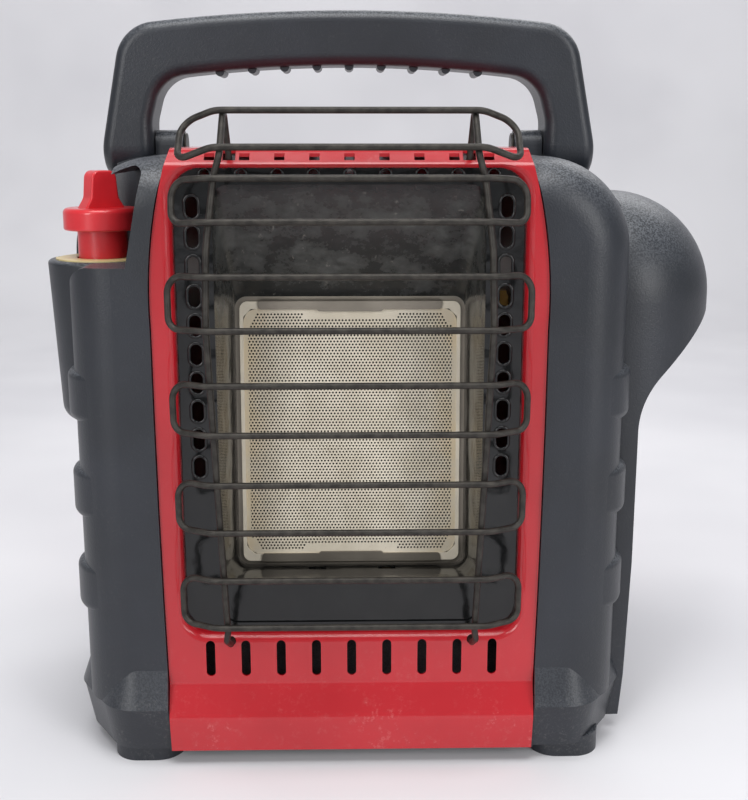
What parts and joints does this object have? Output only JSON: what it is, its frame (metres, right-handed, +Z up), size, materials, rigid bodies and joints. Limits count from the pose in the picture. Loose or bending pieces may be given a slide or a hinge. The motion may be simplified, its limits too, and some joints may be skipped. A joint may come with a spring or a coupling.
{
  "type": "portable propane heater",
  "caption": "Portable radiant propane heater with a tiled burner behind a wire guard, steel front, plastic sides with a cylinder dome, control knob and fold-down handle.",
  "frame": {"origin": "on the floor under the feet, at the middle of the steel front panel's width and 5 mm ahead of the gas cylinder's axis", "axes": "+Z up, -Y out of the burner's face, +X towards the gas cylinder"},
  "size_m": [0.3472, 0.197, 0.3795],
  "materials": {
    "red_steel": "gloss red enamel on sheet steel",
    "black_enamel": "gloss black enamel, sooted",
    "charcoal_plastic": "pebbled charcoal plastic",
    "red_plastic": "satin red plastic",
    "black_plastic": "black plastic",
    "ceramic": "cream perforated ceramic",
    "frame_ceramic": "cream ceramic fibre gasket",
    "plated_steel": "heat-stained plated steel",
    "guard_wire": "dark heat-browned steel wire",
    "brass": "machined brass",
    "zinc": "zinc casting, stood in for by aluminium",
    "aluminium": "aluminium tube",
    "dial_print": "yellow and grey dial disc",
    "rubber": "black rubber"
  },
  "bodies": {
    "housing": {"air_shutter": "plated_steel", "base_pan": "charcoal_plastic", "bottom_tile_clip": "plated_steel", "burner_plenum": "plated_steel", "burner_tube": "aluminium", "ceramic_tile": "ceramic", "dial_ring": "dial_print", "flame_sensor": "plated_steel", "front_panel": "red_steel", "gas_inlet": "brass", "gas_valve": "brass", "guard_loops": "guard_wire", "guard_rods": "guard_wire", "heat_plate": "black_enamel", "heat_shields": "plated_steel", "igniter_electrode": "frame_ceramic", "left_side_panel": "charcoal_plastic", "orifice": "brass", "piezo_igniter": "black_plastic", "pilot_bracket": "plated_steel", "pilot_burner": "brass", "pivot_pins": "guard_wire", "rear_panel": "red_steel", "reflector_pan": "black_enamel", "reflector_surround": "black_enamel", "right_side_panel": "charcoal_plastic", "supply_tube": "aluminium", "tile_frame": "frame_ceramic", "top_tile_clip": "plated_steel", "valve_nut": "plated_steel", "venturi": "plated_steel"},
    "handle": {"handle": "charcoal_plastic"},
    "spindle": {"valve_spindle": "brass"},
    "knob": {"knob": "red_plastic"},
    "regulator": {"regulator_body": "zinc", "regulator_cap": "zinc", "inlet_seal": "rubber"}
  },
  "joints": [
    {"name": "handle_fold", "type": "hinge", "parent": "housing", "child": "handle", "pos_m": [0, 0.02, 0.3105], "axis": [-1, 0, 0], "range_deg": [0, 88]},
    {"name": "valve_turn", "type": "hinge", "parent": "housing", "child": "spindle", "pos_m": [-0.126, -0.028, 0.245], "axis": [0, 0, 1], "range_deg": [0, 180]},
    {"name": "knob_push", "type": "slide", "parent": "spindle", "child": "knob", "axis": [0, 0, -1], "range_m": [0, 0.0035], "stiffness_N_per_m": 400, "springref_m": -0.001},
    {"name": "regulator_swivel", "type": "hinge", "parent": "housing", "child": "regulator", "pos_m": [0.11, 0.005, 0.226], "axis": [0, -1, 0], "range_deg": [0, 28]}
  ]
}
